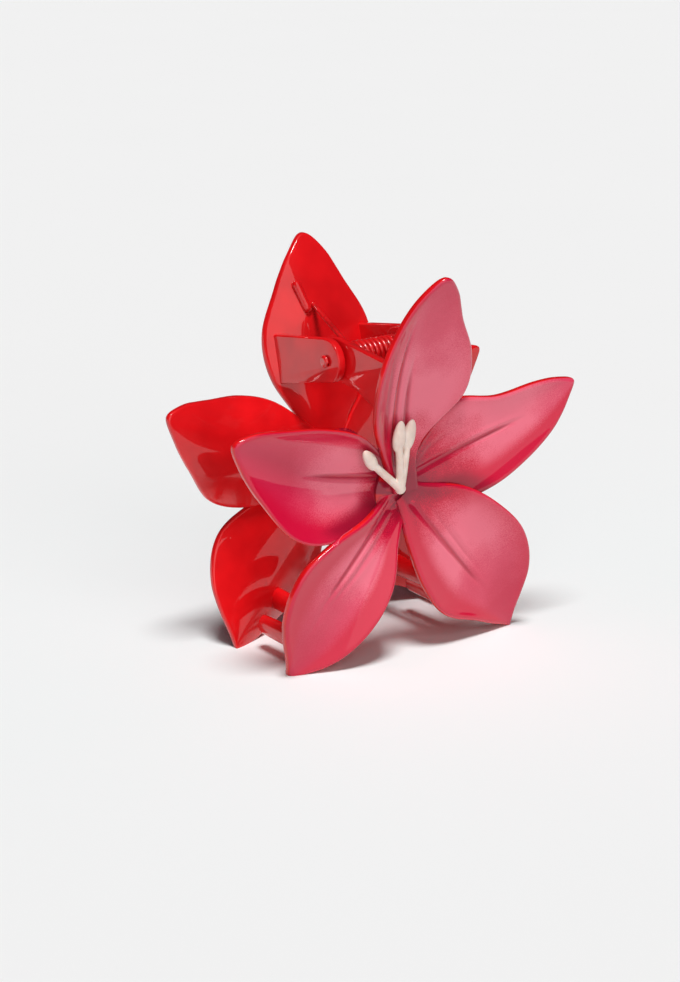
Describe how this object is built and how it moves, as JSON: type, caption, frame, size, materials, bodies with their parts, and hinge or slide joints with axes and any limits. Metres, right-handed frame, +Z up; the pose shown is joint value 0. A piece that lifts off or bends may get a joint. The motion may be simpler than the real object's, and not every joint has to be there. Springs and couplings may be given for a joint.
{
  "type": "hair claw clip",
  "caption": "Sprung hair claw with two flower-shaped halves that turn on a riveted pin, with interleaved teeth and moulded stamens.",
  "frame": {"origin": "middle of the foot on the surface that the four lower petal tips stand on, midway between the side petals and between the two halves", "axes": "+X along the hinge pin, to the right seen from the front; +Y from the front half to the back half; +Z up"},
  "size_m": [0.0788, 0.051, 0.079],
  "materials": {
    "pearl_pink": "ABS moulding lacquered red all over, with pearl pink airbrushed over the outer faces",
    "red_metal": "steel wire and pin coated with the same glossy red lacquer",
    "cream": "satin cream moulded plastic"
  },
  "bodies": {
    "front_jaw": {"front_flower": "pearl_pink", "front_stamens": "cream"},
    "back_jaw": {"back_flower": "pearl_pink", "back_stamens": "cream", "hinge_pin": "red_metal", "jaw_spring": "red_metal"}
  },
  "joints": [
    {"name": "jaw_hinge", "type": "hinge", "parent": "front_jaw", "child": "back_jaw", "pos_m": [0, 0, 0.059], "axis": [1, 0, 0], "range_deg": [0, 40], "stiffness_Nm_per_rad": 0.1, "springref_deg": -28.65, "deforming": ["jaw_spring"]}
  ]
}
